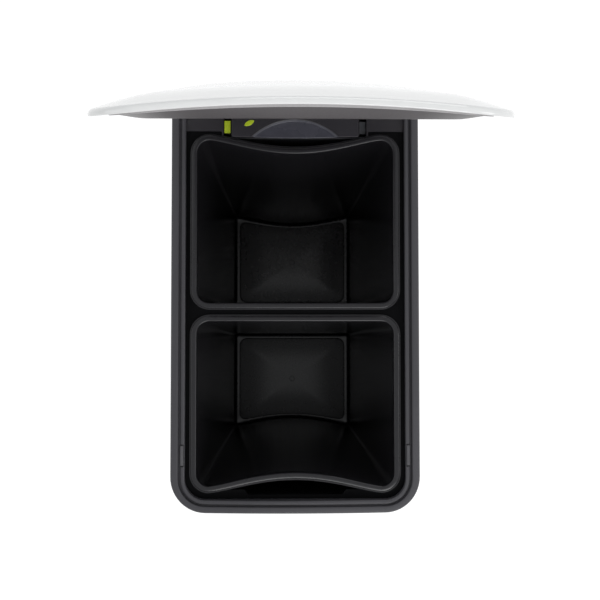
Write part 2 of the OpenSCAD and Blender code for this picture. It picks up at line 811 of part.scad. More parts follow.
// Fixed channel on the casing that a runner slides in.
module rail() {
    x0 = drawer_w / 2 + 3;
    z0 = runner_z - 4;
    z1 = runner_z + runner_h + 4;
    y0 = front_split + 24;
    y1 = back_plate_y - 6;
    color("#8b8d90") difference() {
        union() {
            box([x0, y0, z0], [x0 + 8, y1, z1]);
            for (y = [y0 + 16, 0, y1 - 74]) box([x0 + 7, y, z0 - 4], [case_x - casing_t, y + 24, z1 + 4]);
        }
        box([x0 - 1, y0 - 4, z0 + 3], [x0 + 5, y1 + 6, z1 - 3]);
    }
}

module rail_left() {
    mirror([1, 0, 0]) rail();
}

module rail_right() {
    rail();
}

// ---- press ----

// Ribbed plate with two arms to the masts.
module press_plate() {
    px = drawer_w / 2 - drawer_t - 7;
    y0 = drawer_front + 24;
    y1 = drawer_back - 12;
    color("#7d7f83") union() {
        slab(press_z, press_z + press_plate_t) plate2d(px, y0, y1, 20, 12);
        for (x = [-px + 8, -3, px - 14])
            box([x, y0 + 12, press_z + 1], [x + 6, y1 - 6, press_z + press_rib_h]);
        for (y = [y0 + 16, 0, y1 - 12])
            box([-px + 8, y, press_z + 1], [px - 8, y + 5, press_z + press_rib_h]);
        // arms back to the masts
        both() box([mast_in, y1 - 40, press_z], [mast_out, mast_y - mast_d / 2, press_z + press_rib_h]);
    }
}

// Straight teeth of a rack, tips pointing to -X from the pitch line at x = 0.
module rack(z0, z1, y0, y1) {
    n = floor((z1 - z0) / rack_pitch);
    root = root_depth * gear_m;
    half_tip = rack_pitch / 4 - gear_m * tan(pressure) - backlash;
    half_root = rack_pitch / 4 + root * tan(pressure) - backlash;
    first = round((z0 + rack_pitch / 2 - pinion_z) / rack_pitch) * rack_pitch + pinion_z;
    translate([0, y1, 0]) rotate([90, 0, 0]) linear_extrude(y1 - y0)
        for (i = [0 : n - 1]) translate([0, first + i * rack_pitch])
            polygon([[-gear_m, -half_tip], [-gear_m, half_tip], [root, half_root], [root + 0.5, half_root],
                [root + 0.5, -half_root], [root, -half_root]]);
}

// Square mast with a rack on its inner edge.
module press_mast() {
    union() {
        box([mast_in, mast_y - mast_d / 2, press_z], [mast_out, mast_y + mast_d / 2, mast_top - cap_h]);
        translate([mast_line, 0, 0])
            rack(pinion_z - rack_reach, pinion_z + press_travel + rack_reach, gear_y0, gear_y0 + gear_t);
    }
}

module press_mast_left() {
    color("#6f7175") mirror([1, 0, 0]) press_mast();
}

module press_mast_right() {
    color("#6f7175") press_mast();
}

// Bright cap on the left mast that shows in the deck's slot when the press is up.
module mast_cap() {
    color("#a4b82a") mirror([1, 0, 0])
        box([mast_in, mast_y - mast_d / 2, mast_top - cap_h], [mast_out, mast_y + mast_d / 2, mast_top]);
}

// Tooth flank points of an involute gear, at angle offset a, on side s.
function involute(rb, r) = let (t = sqrt(max(r * r / (rb * rb) - 1, 0))) [r, t * 180 / PI - atan(t)];

module pinion() {
    rb = pinion_r * cos(pressure);
    root = pinion_r - root_depth * gear_m;
    tip = pinion_r + gear_m;
    half = 90 / pinion_teeth + involute(rb, pinion_r)[1] - 0.1;
    radii = [root - 0.5, rb, pinion_r - 0.4 * gear_m, pinion_r, pinion_r + 0.5 * gear_m, tip];
    function flank(r, s) = let (a = s * (half - involute(rb, max(r, rb))[1])) r * [cos(a), sin(a)];
    linear_extrude(gear_t) difference() {
        union() {
            circle(r = root);
            for (i = [0 : pinion_teeth - 1]) rotate((i + 0.5) * 360 / pinion_teeth)
                polygon(concat(
                    [for (r = radii) flank(r, -1)],
                    [for (k = [len(radii) - 1 : -1 : 0]) flank(radii[k], 1)]));
        }
        circle(r = axle_r + run);
        for (a = [0 : 60 : 300]) rotate(a) translate([pinion_r * 0.58, 0]) circle(r = pinion_r * 0.17);
    }
}

module pinion_at(x) {
    translate([x, gear_y0 + gear_t, pinion_z]) rotate([90, 0, 0]) children();
}

module pinion_left() {
    color("#d8d6cf") pinion_at(-pinion_x) pinion();
}

module pinion_right() {
    color("#d8d6cf") pinion_at(pinion_x) pinion();
}

// Back plate that carries the axles, guides and spring bridge.
module gear_plate() {
    color("#75777b") difference() {
        union() {
            box([-mast_x - 24, back_plate_y, spring_high - 4], [mast_x + 24, back_plate_out, pinion_z + 160]);
            box([-spring_x - 12, lift_y - 9, spring_high],
                [spring_x + 12, back_plate_y + 1, spring_high + bridge_t]);
        }
        both() rod_y(pinion_x, back_plate_y - 1, rear_y, pinion_z, axle_r);
        both() translate([spring_x, guide_y, spring_high - 1]) cylinder(r = guide_r, h = 8);
        box([-bar_x - 0.8, lift_y - 20, spring_high - 1], [bar_x + 0.8, lift_y + 8, spring_high + 7]);
        for (z = [pinion_z + 70, pinion_z + 110]) box([-40, back_plate_y - 1, z], [40, rear_y, z + 20]);
    }
}

// Fixed axles of the pinions, riveted into the gear plate.
module pinion_axles() {
    color("#9a9c9f") both() rod_y(pinion_x, column_front + 2.5, back_plate_out, pinion_z, axle_r);
}

// Clips that keep the pinions on their axles.
module axle_clips() {
    color("#2b2b2b") both() difference() {
        rod_y(pinion_x, gear_y0 - 1.5 - gap, gear_y0 - gap, pinion_z, axle_r + 3);
        rod_y(pinion_x, gear_y0 - 3, gear_y0, pinion_z, axle_r);
    }
}

// Sliding guides: two for each mast and one for the lift bar.
module mast_guides() {
    near_y = mast_y - mast_d / 2;
    far_y = mast_y + mast_d / 2;
    color("#d8d6cf") {
        // the lower guide leaves room for the rack's teeth, and the upper one is open at the front
        both() for (z = [pinion_z - 40, pinion_z + 130]) difference() {
            tooth_room = z < pinion_z ? 8 : 0;
            box([mast_x - 11, near_y - 3, z - 12], [mast_out + 6, back_plate_y, z + 12]);
            box([mast_in - tooth_room - gap, near_y - gap, z - 13], [mast_out + gap, far_y + gap, z + 13]);
            if (z > pinion_z)
                box([mast_x - 12, near_y - 4, z - 13], [mast_in - gap + 0.1, mast_y + 3, z + 13]);
        }
        difference() {
            box([-bar_x - 6, lift_y - 10, spring_high + 30], [bar_x + 6, back_plate_y, spring_high + 50]);
            box([-bar_x - gap, lift_y - 7, spring_high + 29], [bar_x + gap, lift_y + 5, spring_high + 51]);
            box([-bar_x + 4, lift_y - 11, spring_high + 29], [bar_x - 4, lift_y - 6, spring_high + 51]);
        }
    }
}

// Lift bar with a rack on each edge, a crosshead and a slotted foot round the pedal's rod.
module lift_bar() {
    foot_low = pivot_z - rod_r - 6;
    color("#6f7175") union() {
        box([-bar_x, lift_y - 6.5, crosshead_z + 1], [bar_x, lift_y + 4.5, bar_top]);
        both() mirror([1, 0, 0]) translate([-bar_line, 0, 0])
            rack(pinion_z - press_travel - rack_reach, pinion_z + rack_reach, lift_y - 6.5, lift_y + 4.5);
        difference() {
            box([-spring_x - 10, lift_y - 8, crosshead_z],
                [spring_x + 10, guide_y + 9, crosshead_z + crosshead_h]);
            both() translate([spring_x, guide_y, crosshead_z - 1])
                cylinder(r = guide_r + run, h = crosshead_h + 2);
        }
        difference() {
            box([-bar_x, lift_y - 22, foot_low], [bar_x, lift_y + 12, crosshead_z + 2]);
            rod_slot(lift_y - 12, lift_y + 1);
        }
    }
}

// Level slot that lets the rod move along its arc.
module rod_slot(y0, y1) {
    r = rod_r + 0.7;
    rod_x(-bar_x - 1, bar_x + 1, y0, pivot_z, r);
    rod_x(-bar_x - 1, bar_x + 1, y1, pivot_z, r);
    box([-bar_x - 1, y0, pivot_z - r], [bar_x + 1, y1, pivot_z + r]);
}

// Upright rods that guide the crosshead.
module lift_guide_rods() {
    low = ring_h + base_t;
    color("#9a9c9f") both() translate([spring_x, guide_y, low])
        cylinder(r = guide_r, h = spring_high + bridge_t - low);
}

// One compression spring round each guide rod.
module return_springs() {
    seg = 12;
    sides = 6;
    steps = spring_turns * seg;
    low = spring_low + spring_wire + 0.2;
    rise = spring_high - spring_low - 2 * spring_wire - 0.4;
    function ring(k) =
        let (a = 360 * k / seg, c = [spring_r * cos(a), spring_r * sin(a), low + rise * k / steps])
        [for (i = [0 : sides - 1]) let (b = 360 * i / sides)
            c + spring_wire * [cos(b) * cos(a), cos(b) * sin(a), sin(b)]];
    color("#b4b6b8") both() translate([spring_x, guide_y, 0]) skin([for (k = [0 : steps]) ring(k)]);
}

// ---- pedal ----

// Two arms joined by cross bars and by the rod that drives the lift bar.
module pedal_frame() {
    front = front_y + 34;
    color("#55575b") difference() {
        union() {
            both() union() {
                box([arm_x, -pivot_y - 5, pivot_z - 7], [arm_x + arm_t, lift_y, pivot_z + 7]);
                box([arm_x, front, tread_z - 18], [arm_x + arm_t, front + 10, tread_z - 4]);
                translate([arm_x + arm_t, 0, 0]) rotate([90, 0, -90]) linear_extrude(arm_t)
                    polygon([[pivot_y - 6, pivot_z - 7], [pivot_y - 6, pivot_z + 7],
                        [-front - 6, tread_z - 4], [-front - 6, tread_z - 18]]);
                rod_x(arm_x, arm_x + arm_t, -pivot_y, pivot_z, pivot_r + 6);
                rod_x(arm_x, arm_x + arm_t, lift_y, pivot_z, rod_r + 5);
            }
            box([-arm_x - 1, front, tread_z - 16], [arm_x + 1, front + 8, tread_z - 6]);
            box([-neck_x, tread_y - tread_d + 8, tread_z - 14], [neck_x, front + 1, tread_z - tread_t]);
            rod_x(-arm_x - 1, arm_x + 1, lift_y, pivot_z, rod_r);
        }
        both() rod_x(arm_x - 1, arm_x + arm_t + 1, -pivot_y, pivot_z, pivot_r + 2);
    }
}

// Plain bushes pressed into the pedal's arms.
module pedal_bushes() {
    color("#d8d6cf") both() difference() {
        rod_x(arm_x, arm_x + arm_t, -pivot_y, pivot_z, pivot_r + 2);
        rod_x(arm_x - 1, arm_x + arm_t + 1, -pivot_y, pivot_z, pivot_r + run);
    }
}

// Shaft that the pedal turns on, held in the base tray's bosses.
module pedal_shaft() {
    color("#9a9c9f") rod_x(-case_x + 3, case_x - 3, -pivot_y, pivot_z, pivot_r);
}

// Rubber tread with five grooves across it.
module pedal_tread() {
    toe = tread_y - tread_d;
    groove_x = tread_w / 2 - 14;
    color("#2c2c2f") difference() {
        slab(tread_z - tread_t, tread_z) translate([0, toe]) plate2d(tread_w / 2, 0, tread_d, 12, 4);
        for (i = [1 : 5])
            box([-groove_x, toe + 7 * i, tread_z - 1.2], [groove_x, toe + 7 * i + 2.5, tread_z + 1]);
    }
}

// ---- which piece to draw ----
foot_ring();
base_tray();
side_casing_left();
side_casing_right();
rear_cover();
front_panel();
front_frame();
rim_frame();
rim_bumpers();
bin_carrier();
bin_well();
mid_shelf();
rear_deck();
filter_flap();
filter_flap_pins();
filter_cartridge();
front_bin();
rear_bin();
lid_shell();
lid_pan();
lid_hinge_leaves();
hinge_brackets();
hinge_pins();
drawer_box();
drawer_front();
drawer_backing();
drawer_handle();
drawer_runners();
rail_left();
rail_right();
press_plate();
press_mast_left();
press_mast_right();
mast_cap();
pinion_left();
pinion_right();
gear_plate();
pinion_axles();
axle_clips();
mast_guides();
lift_bar();
lift_guide_rods();
return_springs();
pedal_frame();
pedal_shaft();
pedal_tread();
pedal_bushes();
rear_screws();
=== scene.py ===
# Trash compactor: two lift-out bins under an arched lid, over a drawer with a pedal-driven press.
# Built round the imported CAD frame, in metres. Sizes below are in millimetres.
import math

import bmesh
import bpy
import numpy as np
from mathutils import Matrix


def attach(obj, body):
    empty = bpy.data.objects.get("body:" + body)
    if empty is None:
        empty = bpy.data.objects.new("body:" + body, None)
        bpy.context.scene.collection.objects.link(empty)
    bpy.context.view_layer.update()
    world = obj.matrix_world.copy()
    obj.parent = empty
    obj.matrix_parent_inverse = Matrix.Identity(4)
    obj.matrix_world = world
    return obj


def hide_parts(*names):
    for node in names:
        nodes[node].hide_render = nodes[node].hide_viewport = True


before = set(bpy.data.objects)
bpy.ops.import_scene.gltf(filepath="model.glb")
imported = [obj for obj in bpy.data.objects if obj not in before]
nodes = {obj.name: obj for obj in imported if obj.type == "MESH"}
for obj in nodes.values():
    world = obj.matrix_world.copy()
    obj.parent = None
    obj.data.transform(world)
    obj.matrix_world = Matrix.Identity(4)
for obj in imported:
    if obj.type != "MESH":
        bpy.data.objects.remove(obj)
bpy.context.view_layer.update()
scene = bpy.context.scene
scene.view_settings.view_transform = "Standard"

# ---- camera ----
# A long-lens camera about two metres up that looks straight down, a little off the square.
camera_at = (-0.01182, -0.03813, 2.02215)
camera_turn = (Matrix.Rotation(math.radians(0.026), 4, "Z")
               @ Matrix.Rotation(math.radians(-2.271), 4, "X")
               @ Matrix.Rotation(math.radians(0.892), 4, "Y"))
camera = bpy.data.objects.new("camera", bpy.data.cameras.new("camera"))
camera.data.lens = 56.035
camera.data.sensor_width = 36
camera.matrix_world = Matrix.Translation(camera_at) @ camera_turn.transposed()
scene.collection.objects.link(camera)
scene.camera = camera


# ---- room ----
# A pale floor under an even sky that shows white to the camera, with four soft boxes all round.
# White is shown only to the eye and to mirrors; the light on the object stays at a plain level.
def linear(hex_colour):
    """Red, green, blue and alpha 1: each byte over 255, then the sRGB curve undone."""
    c = np.array([int(hex_colour[i:i + 2], 16) for i in (1, 3, 5)]) / 255
    return (*np.where(c <= 0.04045, c / 12.92, ((c + 0.055) / 1.055) ** 2.4), 1.0)


def add_node(tree, kind, sockets=None, **settings):
    """Adds a shader node: settings are its choices, sockets gives inputs a value or another output."""
    made = tree.nodes.new("ShaderNode" + kind)
    for name, value in settings.items():
        setattr(made, name, value)
    for name, value in (sockets or {}).items():
        if isinstance(value, bpy.types.NodeSocket):
            tree.links.new(value, made.inputs[name])
        else:
            made.inputs[name].default_value = value
    return made


world = bpy.data.worlds.new("studio")
world.use_nodes = True
world.node_tree.nodes.clear()
soft_sky = add_node(world.node_tree, "Background", {"Color": linear("#f6f8fa"), "Strength": 0.6})
white_sky = add_node(world.node_tree, "Background", {"Color": (1, 1, 1, 1), "Strength": 1.0})
eye = add_node(world.node_tree, "LightPath").outputs["Is Camera Ray"]
sky = add_node(world.node_tree, "MixShader", {0: eye, 1: soft_sky.outputs[0], 2: white_sky.outputs[0]})
add_node(world.node_tree, "OutputWorld", {0: sky.outputs[0]})
scene.world = world

floor_paint = bpy.data.materials.new("pale studio floor")
floor_paint.use_nodes = True
tree = floor_paint.node_tree
tree.nodes.clear()
matt = add_node(tree, "BsdfDiffuse", {"Color": linear("#d8d8d8")})
glow = add_node(tree, "Emission", {"Color": (1, 1, 1, 1), "Strength": 0.86})
faint = add_node(tree, "BsdfDiffuse", {"Color": (0.3, 0.3, 0.3, 1)})
lit = add_node(tree, "AddShader", {0: glow.outputs[0], 1: faint.outputs[0]})
# 1 for camera, glossy and transmission rays, 0 for the rays that carry light
path = add_node(tree, "LightPath")
first = add_node(tree, "Math", {0: path.outputs["Is Camera Ray"], 1: path.outputs["Is Glossy Ray"]},
                 operation="MAXIMUM")
seen = add_node(tree, "Math", {0: first.outputs[0], 1: path.outputs["Is Transmission Ray"]},
                operation="MAXIMUM")
shown = add_node(tree, "MixShader", {0: seen.outputs[0], 1: matt.outputs[0], 2: lit.outputs[0]})
add_node(tree, "OutputMaterial", {0: shown.outputs[0]})
floor_mesh = bpy.data.meshes.new("floor")
floor_mesh.from_pydata([(-6, -6, 0), (6, -6, 0), (6, 6, 0), (-6, 6, 0)], [], [(0, 1, 2, 3)])
floor_mesh.materials.append(floor_paint)
floor = bpy.data.objects.new("floor", floor_mesh)
scene.collection.objects.link(floor)

# name, place in metres, point aimed at, size, watts
for name, place, aim, size, watts in (
        ("front_box", (0.6, -2.0, 3.0), (0, 0, 0.9), 1.5, 26.0),
        ("right_box", (2.4, -0.4, 2.5), (0, 0, 0.9), 1.2, 11.0),
        ("left_box", (-2.4, 0.1, 2.3), (0, 0, 0.8), 1.4, 5.5),
        ("rear_box", (0.4, 2.5, 2.3), (0, 0, 1.1), 1.4, 15.0)):
    lamp = bpy.data.lights.new(name, "AREA")
    lamp.size = size
    lamp.energy = watts
    box = bpy.data.objects.new(name, lamp)
    towards = (Matrix.Translation(place).inverted() @ Matrix.Translation(aim)).translation
    box.matrix_world = Matrix.Translation(place) @ towards.to_track_quat("-Z", "Y").to_matrix().to_4x4()
    scene.collection.objects.link(box)


# ---- foot ring and base tray ----
# The unit stands on a moulded rubber ring clipped under a black glass-filled nylon tray.
# Both are injection moulded; their outer edges are eased by the tool.
def surface(name, light, dark, roughness, grain, depth, cloud=70, swing=0.05, stretch=(1, 1, 1),
            pattern="TexNoise", **shader):
    """A finish on Object coordinates. Its colour drifts between two tones over cloud millimetres,
    its roughness drifts by swing with it, and its surface stands depth millimetres high in a grain
    of that many millimetres, drawn out by stretch. Other values go on the shader's own sockets."""
    material = bpy.data.materials.new(name)
    material.use_nodes = True
    tree = material.node_tree
    tree.nodes.clear()
    place = add_node(tree, "TexCoord").outputs["Object"]
    drift = add_node(tree, "TexNoise", {"Vector": place, "Scale": 1000 / cloud, "Detail": 3.0})
    drawn = add_node(tree, "Mapping", {"Vector": place, "Scale": stretch})
    grains = add_node(tree, pattern, {"Vector": drawn.outputs[0], "Scale": 1000 / grain})
    height = grains.outputs[0]
    tone = add_node(tree, "Math", {0: drift.outputs[0], 1: height}, operation="ADD")
    share = add_node(tree, "MapRange", {0: tone.outputs[0], 1: 0.7, 2: 1.3, 3: 0.0, 4: 1.0})
    colour = add_node(tree, "Mix", {0: share.outputs[0], 6: linear(dark), 7: linear(light)},
                      data_type="RGBA")
    dull = add_node(tree, "MapRange", {0: drift.outputs[0], 1: 0.3, 2: 0.7,
                                       3: roughness - swing, 4: roughness + swing})
    relief = add_node(tree, "Bump", {"Height": height, "Distance": depth / 1000, "Strength": 1.0})
    skin_shader = add_node(tree, "BsdfPrincipled", {"Base Color": colour.outputs[2],
                                                    "Roughness": dull.outputs[0],
                                                    "Normal": relief.outputs[0], **shader})
    add_node(tree, "OutputMaterial", {0: skin_shader.outputs[0]})
    return material


def dress(material, *names, edge=0.5):
    """Gives CAD nodes a finish and eased edges: triangles welded and their flats joined, every edge
    sharper than 35 degrees rounded by edge millimetres, and the shading held to the flats."""
    for name in names:
        piece = nodes[name]
        piece.data.materials.clear()
        piece.data.materials.append(material)
        piece.data.polygons.foreach_set("use_smooth", [True] * len(piece.data.polygons))
        piece.modifiers.new("weld", "WELD").merge_threshold = 2e-6
        flats = piece.modifiers.new("flats", "DECIMATE")
        flats.decimate_type = "DISSOLVE"
        flats.angle_limit = math.radians(0.6)
        if edge:
            eased = piece.modifiers.new("eased", "BEVEL")
            eased.width = edge / 1000
            eased.segments = 2
            eased.limit_method = "ANGLE"
            eased.angle_limit = math.radians(35)
        piece.modifiers.new("normals", "WEIGHTED_NORMAL").keep_sharp = True


# Solid rubber: matt, slightly greyed where it was moulded against a blasted tool.
rubber = surface("black moulded rubber", "#2b2b2d", "#222224", 0.78, 1.6, 0.05, cloud=40)
# Glass-filled nylon: dull black with a faint flow grain.
nylon = surface("black glass-filled nylon", "#2d2d30", "#252528", 0.55, 1.8, 0.05, cloud=90)
dress(rubber, "foot_ring", edge=0.8)
dress(nylon, "base_tray", edge=0.8)

# ---- casings ----
# Folded steel panels, powder coated: charcoal at the sides and rear, white at the front.
# The rear cover is held by four plated pan-head screws.
# Epoxy powder coat levels to a soft orange peel a few millimetres across.
charcoal_coat = surface("charcoal powder coat", "#3c3c3f", "#343437", 0.42, 2.6, 0.035, cloud=160)
white_coat = surface("white powder coat", "#eeeeec", "#e8e8e6", 0.33, 3.0, 0.025, cloud=200)
# Bright zinc plate over drawn steel: fine mottled crystals, a little bluish.
zinc_plate = surface("bright zinc plate", "#bcc0c3", "#a3a7ab", 0.30, 1.2, 0.012, cloud=25,
                     pattern="TexVoronoi", Metallic=1.0)
dress(charcoal_coat, "side_casing_left", "side_casing_right", "rear_cover", edge=0.7)
dress(white_coat, "front_panel", edge=0.8)
dress(zinc_plate, "rear_screws", edge=0.3)

# ---- frame, shelf and gear plate ----
# Pressed steel posts, shelf, gear plate, hinge parts and press, dipped in dark grey paint.
# Dipped paint pools slightly, so its gloss drifts over a few centimetres.
dipped_paint = surface("dark grey dipped paint", "#4d4e52", "#404145", 0.46, 4.0, 0.04, cloud=45,
                       swing=0.08)
dress(dipped_paint, "front_frame", "mid_shelf", "gear_plate", edge=0.5)

# ---- drawer ----
# A deep moulded polypropylene box behind a white powder-coated front, on steel rails.
# Its bar handle is brushed stainless steel on two posts.
# Carbon-filled polypropylene: a soft sheen with a faint grain.
drawer_plastic = surface("dark grey polypropylene", "#303034", "#29292c", 0.48, 1.8, 0.04, cloud=110)
# Brushing runs along the bar, so the scratches are long in X and fine across.
brushed_steel = surface("brushed stainless steel", "#c3c4c6", "#aeb0b2", 0.28, 1.2, 0.02, cloud=60,
                        stretch=(0.03, 1, 1), Metallic=1.0)
# Acetal: creamy white, waxy, with a low sheen.
acetal = surface("natural acetal", "#dcdad2", "#d2d0c8", 0.42, 2.2, 0.02, cloud=60)
dress(drawer_plastic, "drawer_box", edge=0.6)
dress(dipped_paint, "drawer_backing", edge=0.5)
dress(white_coat, "drawer_front", edge=0.8)
dress(brushed_steel, "drawer_handle", edge=0.6)
dress(acetal, "drawer_runners", edge=0.4)
dress(zinc_plate, "rail_left", "rail_right", edge=0.4)

# ---- press, masts and pinions ----
# A ribbed steel plate hangs from two racked masts; acetal pinions tie the masts to the lift bar.
# The left mast ends in a lime cap that shows through the deck as a full mark.
# Bright ABS, self-coloured and lightly polished.
lime_abs = surface("lime moulded ABS", "#bccf30", "#aec324", 0.34, 1.6, 0.015, cloud=30)
dress(dipped_paint, "press_plate", "press_mast_left", "press_mast_right", "lift_bar", edge=0.4)
dress(lime_abs, "mast_cap", edge=0.5)
dress(acetal, "pinion_left", "pinion_right", "mast_guides", edge=0.25)
dress(zinc_plate, "pinion_axles", "lift_guide_rods", edge=0.3)
dress(rubber, "axle_clips", edge=0.2)

# Oiled spring wire wound on an arbor: darker and glossier than the plated parts.
spring_wire = surface("oiled spring steel", "#8f9194", "#77797c", 0.26, 1.0, 0.01, cloud=12, Metallic=1.0)
dress(spring_wire, "return_springs", edge=0)

# ---- pedal ----
# A welded steel frame on a plated cross shaft, with a grooved rubber tread on its neck.
# Two acetal bushes are pressed into its arms.
dress(dipped_paint, "pedal_frame", edge=0.6)
dress(zinc_plate, "pedal_shaft", edge=0.4)
dress(rubber, "pedal_tread", edge=0.6)
dress(acetal, "pedal_bushes", edge=0.3)

# ---- well and carrier ----
# A thin moulded well lines the body under the bins; the carrier plate on it holds both rims.
dress(drawer_plastic, "bin_well", edge=0.5)
# The carrier is the same nylon, painted near black as shade for the dark gaps round the bins, with its
# specular turned down so that it hardly catches the light.
shade_black_nylon = surface("nylon painted shade black", "#0b0b0c", "#08080a", 0.7, 1.8, 0.04, cloud=90,
                     **{"Specular IOR Level": 0.06})
dress(shade_black_nylon, "bin_carrier", edge=0.6)

# ---- deck and filter ----
# The deck behind the bins is moulded ABS with a slot for each mast and a box for the filter.
# The filter is a cartridge of carbon felt, soft and fibrous.
deck_abs = surface("charcoal moulded ABS", "#29262b", "#242226", 0.42, 1.5, 0.03, cloud=70)
# Needled felt: fibres a few millimetres long lie in all directions.
carbon_felt = surface("needled carbon felt", "#4c4c4c", "#343434", 0.92, 2.0, 0.35, cloud=9,
                      stretch=(1, 0.35, 1), **{"Sheen Weight": 0.4})
dress(deck_abs, "rear_deck", edge=0.5)
dress(carbon_felt, "filter_cartridge", edge=0.8)
dress(zinc_plate, "filter_flap_pins", edge=0.2)

# ---- rim frame ----
# One moulding of spark-textured ABS closes the body's top. It follows a long arch across its
# width, with a rounded outer band, a groove, and a rounded ridge round the opening.
rim_z = 905.0
arch_r = 1130.0
case_top = 881.0
ledge_z = 886.5


def plan(hx, y0, y1, rf, rr, arc=14, along=30):
    """A rounded rectangle, anticlockwise: four quarter circles, with radius rf at the front and rr
    at the rear, joined by straight runs cut into equal parts. Every ring has as many points."""
    a = np.linspace(0, math.pi / 2, arc + 1)
    arcs = [np.array(c) + r * np.stack((np.cos(a + q), np.sin(a + q)), 1) for c, r, q in (
        ((hx - rr, y1 - rr), rr, 0), ((rr - hx, y1 - rr), rr, math.pi / 2),
        ((rf - hx, y0 + rf), rf, math.pi), ((hx - rf, y0 + rf), rf, math.pi * 1.5))]
    rows = []
    for k in range(4):
        rows += [arcs[k], np.linspace(arcs[k][-1], arcs[(k + 1) % 4][0], along + 1)[1:-1]]
    return np.concatenate(rows)


def lift(ring, z):
    """A plan ring set at a height, or at one height for each of its points."""
    return np.column_stack((ring, np.broadcast_to(z, len(ring))))


def arch(ring, h):
    """A plan ring laid on the rim's arch: rim height plus h, less x squared over twice the radius."""
    return lift(ring, rim_z + h - ring[:, 0] ** 2 / (2 * arch_r))


def make_piece(name, points, faces, material, body, replaced=(), sharp=30):
    """A piece from millimetre points and faces: doubles merged, faces turned outwards, shaded
    smooth except over edges sharper than that many degrees."""
    mesh = bpy.data.meshes.new(name)
    mesh.from_pydata((np.asarray(points) / 1000).tolist(), [], faces)
    work = bmesh.new()
    work.from_mesh(mesh)
    bmesh.ops.remove_doubles(work, verts=work.verts, dist=1e-6)
    bmesh.ops.recalc_face_normals(work, faces=work.faces)
    work.to_mesh(mesh)
    work.free()
    mesh.materials.append(material)
    mesh.polygons.foreach_set("use_smooth", [True] * len(mesh.polygons))
    mesh.set_sharp_from_angle(angle=math.radians(sharp))
    piece = bpy.data.objects.new(name, mesh)
    scene.collection.objects.link(piece)
    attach(piece, body)
    if replaced:
        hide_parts(*replaced)
    return piece


def strips(rings, closed=False):
    """Points and faces of a skin over equal rings: quads between neighbours, then the last ring
    joined to the first when closed, or both end rings filled."""
    rings = np.asarray(rings, float)
    k = np.arange(rings.shape[0] * rings.shape[1]).reshape(rings.shape[:2])
    low = k if closed else k[:-1]
    high = np.roll(k, -1, 0) if closed else k[1:]
    quads = np.stack((low, np.roll(low, -1, 1), np.roll(high, -1, 1), high), -1).reshape(-1, 4).tolist()
    ends = [] if closed else [k[0][::-1].tolist(), k[-1].tolist()]
    return rings.reshape(-1, 3), quads + ends


def block_shapes(corners):
    """Points and faces of upright blocks, each given by its low and high corners."""
    pick = np.array([[x, y, z] for z in (0, 1) for x, y in ((0, 0), (1, 0), (1, 1), (0, 1))])
    points = np.concatenate([np.where(pick, np.array(b), np.array(a)) for a, b in corners])
    one = np.array([[0, 3, 2, 1], [4, 5, 6, 7], [0, 1, 5, 4], [1, 2, 6, 5], [2, 3, 7, 6], [3, 0, 4, 7]])
    faces = (one[None] + 8 * np.arange(len(corners))[:, None, None]).reshape(-1, 4).tolist()
    return points, faces


def carve(piece, corners, sharp=30, turn=None):
    """Cuts upright blocks out of a piece, turned first if turn is given, and keeps the result."""
    points, faces = block_shapes(corners)
    if turn is not None:
        points = turn(points)
    mesh = bpy.data.meshes.new("cutter")
    mesh.from_pydata((points / 1000).tolist(), [], faces)
    cutter = bpy.data.objects.new("cutter", mesh)
    scene.collection.objects.link(cutter)
    cut = piece.modifiers.new("cut", "BOOLEAN")
    cut.operation = "DIFFERENCE"
    cut.solver = "EXACT"
    cut.object = cutter
    bpy.context.view_layer.update()
    carved = bpy.data.meshes.new_from_object(piece.evaluated_get(bpy.context.evaluated_depsgraph_get()))
    piece.modifiers.clear()
    piece.data = carved
    bpy.data.objects.remove(cutter)
    carved.polygons.foreach_set("use_smooth", [True] * len(carved.polygons))
    carved.set_sharp_from_angle(angle=math.radians(sharp))


# half width, front, rear, front radius, rear radius of each outline
body_line = np.array((150, -248, 248, 42, 18.0))
band_line = np.array((140.5, -240, 244, 32.5, 12.0))
ridge_line = np.array((138.5, -238.5, 242.5, 30.5, 10.0))
open_line = np.array((132.9, -232.9, 240, 24.9, 6.0))
seat_line = np.array((136.4, -236.4, 239, 27.9, 6.0))


def inside(line, e):
    """An outline moved in by e at the front and sides, and by half of that at the narrow rear."""
    return plan(*(line + e * np.array((-1, 1, -0.45, -1, -0.45))))


rim_rings = [lift(inside(body_line, 0), case_top)] + [arch(inside(line, e), h) for line, e, h in (
    (body_line, 0, -2.4), (body_line, 0.25, -1.3), (body_line, 0.8, -0.5), (body_line, 1.5, -0.1),
    (body_line, 2.4, 0), (band_line, -2.2, 0), (band_line, -1.3, -0.1), (band_line, -0.5, -0.5),
    (band_line, -0.1, -1.2), (band_line, 0, -2), (band_line, 0, -6), (ridge_line, 0, -6),
    (ridge_line, 0, -5), (ridge_line, 0.25, -4.2), (ridge_line, 0.9, -3.65), (ridge_line, 1.8, -3.5),
    (open_line, -2.2, -3.5), (open_line, -1.2, -3.7), (open_line, -0.4, -4.3), (open_line, 0, -5.4))]
rim_rings += [lift(inside(open_line, 0), ledge_z), lift(inside(seat_line, 0), ledge_z),
              lift(inside(seat_line, 0), case_top)]
# Spark-eroded grey ABS: an even satin grain, drawn coarser than real so that it shows.
rim_abs = surface("spark-textured grey ABS", "#454448", "#3e3d41", 0.42, 1.7, 0.03, cloud=130)
rim_points, rim_faces = strips(rim_rings, closed=True)
rim_frame = make_piece("rim_moulding", rim_points, rim_faces, rim_abs, "body",
                       ("rim_frame",))
bumper_y0, bumper_y1 = -194.0, -167.0
carve(rim_frame, [((133.9, bumper_y0, 889), (138.9, bumper_y1, 906)),
                  ((-138.9, bumper_y0, 889), (-133.9, bumper_y1, 906)),
                  ((72, 243, 887), (104, 249, 907)), ((-104, 243, 887), (-72, 249, 907))])

